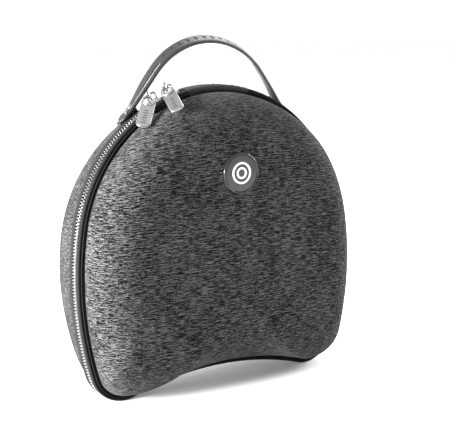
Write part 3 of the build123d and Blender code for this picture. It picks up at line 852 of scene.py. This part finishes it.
def build_strap():
    """The continuous leather strap: flat at its riveted ends and rolled forward over the arch.

    Its outer face has a channel and a ridge along the legs, and plain lozenges over the top.
    """
    line, places = resample(strap_path(), STRAP_STEP)
    total = places[-1]
    tangent = np.gradient(line, axis=0)
    tangent /= np.linalg.norm(tangent, axis=1)[:, None]
    outward = np.column_stack([tangent[:, 1], -tangent[:, 0]])
    outward[outward[:, 1] < 0] *= -1
    section = strap_section(STRAP_WIDTH, STRAP_THICKNESS)
    roll = math.radians(STRAP_ROLL)
    vertices, uvs, looks = [], [], []
    for point, out, place in zip(line, outward, places):
        along = place - total / 2
        from_end = min(place, total - place)
        ease = smooth_step((from_end - STRAP_FLAT_END) / (26 * MM))
        width_dir = np.array([0, math.cos(roll * ease), math.sin(roll * ease)])
        tip = max(0.0, 1 - from_end / (STRAP_WIDTH / 2))
        taper = math.sqrt(max(0.02, 1 - tip * tip)) * mix(0.82, 1.0, ease)
        on_leg = from_end > STRAP_FLAT_END and abs(along) > LEG_START
        base = np.array([point[0], ZIP_Y + STRAP_FRONT, point[1]])
        for across, up in section:
            extra, look = strap_relief(across, up, along, on_leg)
            height = up * (1 - 0.35 * tip) + extra
            vertices.append(base + np.array([out[0], 0, out[1]]) * height
                            + width_dir * (across * taper + STRAP_WIDTH / 2))
            looks.append(look)
            uvs.append((place, across))
    count = len(section)
    faces = capped_tube(len(line), count)
    slots = [strap_face_material(face, looks, count) for face in faces]
    materials = [strap_leather, strap_edge, strap_ridge, groove_black]
    piece = fix_normals(make_object("strap_leather_band", vertices, faces, materials, slots, uvs))
    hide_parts("handle_strap", "handle_end_left", "handle_end_right")
    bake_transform(piece)
    return line, outward, places


def lathe(profile, steps=40):
    """Vertices and faces of a solid of revolution about local z; profile runs axis to axis."""
    vertices = []
    for radius, height in profile[1:-1]:
        for step in range(steps):
            angle = math.tau * step / steps
            vertices.append((radius * math.cos(angle), radius * math.sin(angle), height))
    rows = len(profile) - 2
    faces = tube_faces(rows, steps)
    for row, height in ((0, profile[0][1]), (rows - 1, profile[-1][1])):
        centre = len(vertices)
        vertices.append((0, 0, height))
        faces += [(row * steps + i, row * steps + (i + 1) % steps, centre) for i in range(steps)]
    return vertices, faces


def joined(name, shapes, material):
    """One object out of (vertices, faces, matrix) shapes."""
    vertices, faces = [], []
    for shape_vertices, shape_faces, matrix in shapes:
        first = len(vertices)
        vertices += [matrix @ Vector(v) for v in shape_vertices]
        faces += [tuple(first + i for i in face) for face in shape_faces]
    return fix_normals(make_object(name, vertices, faces, [material]))


def basis(origin, z_axis, x_hint):
    """A frame with the given z axis and its x axis as near `x_hint` as it can be."""
    z_axis = Vector(z_axis).normalized()
    x_axis = (Vector(x_hint) - z_axis * Vector(x_hint).dot(z_axis)).normalized()
    y_axis = z_axis.cross(x_axis)
    matrix = Matrix((x_axis, y_axis, z_axis)).transposed().to_4x4()
    matrix.translation = Vector(origin)
    return matrix


RIVET_PLACES = (9.6 * MM, 14.4 * MM)


def build_rivets(line, outward, places):
    """Domed heads with a rolled rim, on the strap's two ends."""
    head = [(0, 1.0), (0.7, 0.97), (1.25, 0.82), (1.5, 0.6), (1.62, 0.62), (1.85, 0.78), (2.1, 0.66),
            (2.2, 0.4), (2.15, 0.05), (1.2, 0.0), (1.2, -4.0), (0, -4.0)]
    shape = lathe([(radius * MM, height * MM) for radius, height in head])
    shapes = []
    total = places[-1]
    for place in RIVET_PLACES:
        for spot in (place, total - place):
            index = int(np.argmin(np.abs(places - spot)))
            out = outward[index]
            point = line[index] + out * (STRAP_THICKNESS - 0.05 * MM)
            origin = (point[0], ZIP_Y + STRAP_FRONT + STRAP_WIDTH / 2, point[1])
            shapes.append((*shape, basis(origin, (out[0], 0, out[1]), (0, 1, 0))))
    piece = joined("strap_rivet_heads", shapes, pull_metal)
    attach(piece, "base")
    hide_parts("handle_rivets")


# ---- Zip pulls ----
def crown_frame(angle):
    """Origin on the rim and the directions along the zip to the left, to the front and outwards."""
    turn = math.radians(angle)
    outward = Vector((-math.sin(turn), 0, math.cos(turn)))
    origin = Vector((0, ZIP_Y, CROWN_CENTRE_Z)) + outward * CROWN_RADIUS
    return origin, Vector((-math.cos(turn), 0, -math.sin(turn))), Vector((0, -1, 0)), outward


def tab_matrix(angle, spot, direction, hang=0.0):
    """The frame of a pull tab: its origin is the eye, y points up to the eye and z off the face."""
    origin, along, front, outward = crown_frame(angle)
    origin = origin + (along * spot[0] + front * spot[1] + outward * spot[2]) * MM
    down = Vector(direction).normalized()
    origin += down * hang
    facing = Vector(TAB_FACING)
    normal = (facing - down * facing.dot(down)).normalized()
    return basis(origin, normal, normal.cross(down))


def arc_points(x, y, radius, first, last, steps):
    angles = [math.radians(mix(first, last, i / steps)) for i in range(steps + 1)]
    return [(x + radius * math.cos(angle), y + radius * math.sin(angle)) for angle in angles]


def tab_outline(inset, corner, top=None):
    """The plate's outline. With `top` it stops below the eye in a concave edge."""
    half = TAB_WIDTH / 2 - inset
    tip = TAB_WIDTH / 2 - TAB_LENGTH + inset
    corner -= inset
    lower = (arc_points(corner - half, tip + corner, corner, 180, 270, 10)
             + arc_points(half - corner, tip + corner, corner, 270, 360, 10))
    if top is None:
        return lower + arc_points(0, 0, half, 0, 180, 40)[1:-1]
    reach = math.degrees(math.acos(half / top)) if half < top else 0
    return lower + arc_points(0, 0, top, -reach, reach - 180, 24)


def curve_plate(name, loops, low, high, edge, matrix, material):
    """A plate between two heights with rounded edges, cut from closed loops."""
    curve = bpy.data.curves.new(name, "CURVE")
    curve.dimensions = "2D"
    curve.fill_mode = "BOTH"
    curve.extrude = (high - low) / 2 - edge
    curve.bevel_depth = edge
    curve.bevel_resolution = 3
    curve.offset = -edge
    return curve_mesh(name, curve, loops, matrix @ Matrix.Translation((0, 0, (low + high) / 2)), material)


def curve_tube(name, loops, radius, matrix, material):
    """A round wire along closed loops."""
    curve = bpy.data.curves.new(name, "CURVE")
    curve.dimensions = "3D"
    curve.bevel_depth = radius
    curve.bevel_resolution = 4
    return curve_mesh(name, curve, loops, matrix, material)


def curve_mesh(name, curve, loops, matrix, material):
    for loop in loops:
        spline = curve.splines.new("POLY")
        spline.points.add(len(loop) - 1)
        for point, (x, y) in zip(spline.points, loop):
            point.co = (x, y, 0, 1)
        spline.use_cyclic_u = True
    holder = bpy.data.objects.new(name, curve)
    mesh = bpy.data.meshes.new_from_object(holder)
    bpy.data.objects.remove(holder)
    mesh.transform(matrix)
    mesh.materials.clear()
    mesh.materials.append(material)
    mesh.polygons.foreach_set("use_smooth", [True] * len(mesh.polygons))
    piece = bpy.data.objects.new(name, mesh)
    bpy.context.collection.objects.link(piece)
    return piece


BAR_COUNT = 6
BAR_START = -10.6 * MM
BAR_PITCH = 2.4 * MM
BAR_RADIUS = 0.42 * MM


def build_tab(letter, matrix, corner, raised_panel):
    """A cast tab. Its face is a raised panel or a flat inside a raised rim, with plain engraved bars."""
    face = TAB_THICKNESS / 2
    name = "tab_" + letter
    hole = arc_points(0, 0, TAB_EYE_HOLE, 0, 360, 40)[:-1]
    material = pull_metal if raised_panel else plate_metal
    plate = [tab_outline(0, corner), hole]
    pieces = [curve_plate(name + "_plate", plate, -face, face, 0.35 * MM, matrix, material)]
    raised = matrix @ Matrix.Translation((0, 0, face))
    eye = arc_points(0, 0, (TAB_EYE_HOLE + TAB_WIDTH / 2) / 2, 0, 360, 48)[:-1]
    pieces.append(curve_tube(name + "_eye", [eye], 0.62 * MM, raised, pull_metal))
    if raised_panel:
        panel = tab_outline(0.5 * MM, corner, TAB_EYE_HOLE + 2.2 * MM)
        level = face + 0.35 * MM
        pieces.append(curve_plate(name + "_panel", [panel], face - 0.4 * MM, level, 0.2 * MM, matrix,
                                  pull_metal))
    else:
        rim = tab_outline(0.6 * MM, corner, TAB_EYE_HOLE + 1.6 * MM)
        level = face
        pieces.append(curve_tube(name + "_rim", [rim], 0.5 * MM, raised, pull_metal))
    bars = []
    for index in range(BAR_COUNT):
        half = (1.7 if index % 2 else 1.0) * MM
        y = BAR_START - index * BAR_PITCH
        bars.append(arc_points(half, y, BAR_RADIUS, -90, 90, 6)
                    + arc_points(-half, y, BAR_RADIUS, 90, 270, 6))
    pieces.append(curve_plate(name + "_bars", bars, level - 0.3 * MM, level + 0.03 * MM, 0.05 * MM, matrix,
                              groove_black))
    for piece in pieces:
        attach(piece, "pull_" + letter)
    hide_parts("pull_tab_" + letter)


def build_stops():
    """The cast stops at both ends of the zip."""
    profile = rounded_profile(-2.7 * MM, -0.4 * MM, -2.6 * MM, 0.1 * MM, 0.5 * MM)
    angles = (SLIDER_A_ANGLE - 3.4, -ZIP_RIGHT_END_ANGLE - CROWN_TURN + 1.2)
    for number, angle in enumerate(angles):
        middle = crown_distance(angle)
        piece = sweep_rim("zip_stop_%d" % number, profile, pull_metal, start=middle - 1.1 * MM,
                          end=middle + 1.1 * MM, step=0.3 * MM)
        add_bevel(piece, 0.25 * MM)
        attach(piece, "lid")
        if number == 0:
            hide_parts("zip_end_stops")


def build_pulls():
    build_tab("a", tab_matrix(SLIDER_A_ANGLE, TAB_A_EYE, TAB_A_DOWN), 3.4 * MM, False)
    build_tab("b", tab_matrix(SLIDER_B_ANGLE, TAB_B_EYE, TAB_B_DOWN, 1.4 * MM), 4.6 * MM, True)


# ---- Badge ----
def build_badge():
    """A glossy black rim round a slightly domed disc, as profiles in mm."""
    matrix = basis((0, ZIP_Y - FRONT_DEPTH, BADGE_Z), (0, -1, 0), (1, 0, 0))
    radius = BADGE_RADIUS / MM
    inner = radius - 1.5
    rim = [(0, -0.5), (radius - 0.2, -0.5), (radius, 0.0), (radius, 0.9), (radius - 0.35, 1.5),
           (radius - 0.9, 1.6), (radius - 1.4, 1.3), (inner, 0.6), (0, 0.6)]
    disc = [(0, 0.2), (inner, 0.2), (inner, 0.9), (radius - 1.9, 1.25), (radius - 2.6, 1.38),
            (8.0, 1.46), (0, 1.48)]
    for name, profile, material, slot, node in (
            ("badge_gloss_rim", rim, badge_gloss, "badge_rim", "badge_bezel"),
            ("badge_domed_disc", disc, badge_plastic, "badge_body", "badge_disc")):
        shape = lathe([(r * MM, h * MM) for r, h in profile], 72)
        piece = joined(name, [(*shape, matrix)], material)
        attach(piece, "lid")
        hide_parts(node)


# ---- CAD nodes that stay, with better materials and softened edges ----
def dress(node, material, bevel=0.0):
    piece = nodes[node]
    piece.data.materials.clear()
    piece.data.materials.append(material)
    if bevel:
        add_bevel(piece, bevel)


def dress_cad():
    dress("back_shell", shade_dark_eva)
    for node in ("back_lining", "hinge_liner"):
        dress(node, lining_plush)
    dress("headphone_cradle", lining_plush, 2.0 * MM)
    for node in ("handle_pad_left", "handle_pad_right"):
        dress(node, pad_rubber, 0.6 * MM)
    for node in ("slider_a_body", "slider_b_body", "slider_a_bail", "slider_b_bail"):
        dress(node, pull_metal, 0.25 * MM)
    for node in ("pull_ring_a", "pull_ring_b"):
        dress(node, pull_metal)
    dress("badge_emblem", badge_white, 0.1 * MM)
    dress("mesh_pocket", net)
    dress("pocket_hem", twill, 0.8 * MM)


# ---- Studio ----
FLOOR_HALF = 6.0
WORLD_BRIGHT_SIDE = (0.26, 0.77, 0.58)
WORLD_GLOW = (-0.12, 0.5, 0.0, 1.25)
LIGHTS = (("key_left", (-2.1, -0.05, 0.36), (0.0, 0.0, 0.12), 0.7, 0.6, 290.0),
          ("top_back", (0.75, 0.5, 1.05), (0.0, 0.0, 0.2), 0.8, 0.8, 10.0),
          ("right_fill", (2.0, -0.15, 0.9), (0.0, 0.0, 0.15), 0.9, 0.9, 60.0))


def build_studio():
    """A pale floor, a world that is bright behind the case, and three softboxes."""
    n = Nodes("floor_look")
    grain = n.noise(n.place("Object", scale=(40, 40, 40)), detail=3.0)
    n.finish(Base_Color=n.mix(grain, grey(0.90), grey(0.93)), Roughness=0.6,
             Emission_Color=grey(1.0), Emission_Strength=0.15)
    corners = [(x * FLOOR_HALF, y * FLOOR_HALF, 0) for x, y in ((-1, -1), (1, -1), (1, 1), (-1, 1))]
    floor = make_object("studio_floor", corners, [(0, 1, 2, 3)], [n.material], smooth=False)
    world = bpy.data.worlds.new("studio")
    world.use_nodes = True
    tree = world.node_tree
    direction = tree.nodes.new("ShaderNodeTexCoord").outputs["Generated"]
    towards = tree.nodes.new("ShaderNodeVectorMath")
    towards.operation = "DOT_PRODUCT"
    towards.inputs[1].default_value = WORLD_BRIGHT_SIDE
    tree.links.new(direction, towards.inputs[0])
    glow = tree.nodes.new("ShaderNodeMapRange")
    for index, number in enumerate(WORLD_GLOW):
        glow.inputs[index + 1].default_value = number
    tree.links.new(towards.outputs["Value"], glow.inputs[0])
    tree.links.new(glow.outputs[0], tree.nodes["Background"].inputs[1])
    tree.nodes["Background"].inputs[0].default_value = (1.0, 1.0, 1.0, 1.0)
    bpy.context.scene.world = world
    for name, place, target, width, height, power in LIGHTS:
        light = bpy.data.lights.new(name, "AREA")
        light.shape = "RECTANGLE"
        light.size = width
        light.size_y = height
        light.energy = power
        lamp = bpy.data.objects.new(name, light)
        lamp.location = place
        lamp.rotation_euler = (Vector(target) - Vector(place)).to_track_quat("-Z", "Y").to_euler()
        bpy.context.collection.objects.link(lamp)


CAMERA_PLACE = (-0.5247, -0.8175 + ZIP_Y, 0.30595)
CAMERA_FORWARD = (0.5421, 0.8210, -0.1792)
CAMERA_UP = (0.1088, 0.1429, 0.9837)


def build_camera():
    """The camera that sees the case as the photograph does."""
    camera = bpy.data.cameras.new("camera")
    camera.lens = 97.2
    camera.sensor_width = 36.0
    holder = bpy.data.objects.new("camera", camera)
    forward = Vector(CAMERA_FORWARD).normalized()
    holder.matrix_world = basis(CAMERA_PLACE, -forward, forward.cross(Vector(CAMERA_UP)))
    bpy.context.collection.objects.link(holder)
    bpy.context.scene.camera = holder


build_covers()
build_trims()
build_hinge()
build_teeth()
build_rivets(*build_strap())
build_pulls()
build_stops()
build_badge()
dress_cad()
build_studio()
build_camera()
bpy.context.scene.view_settings.view_transform = "Standard"
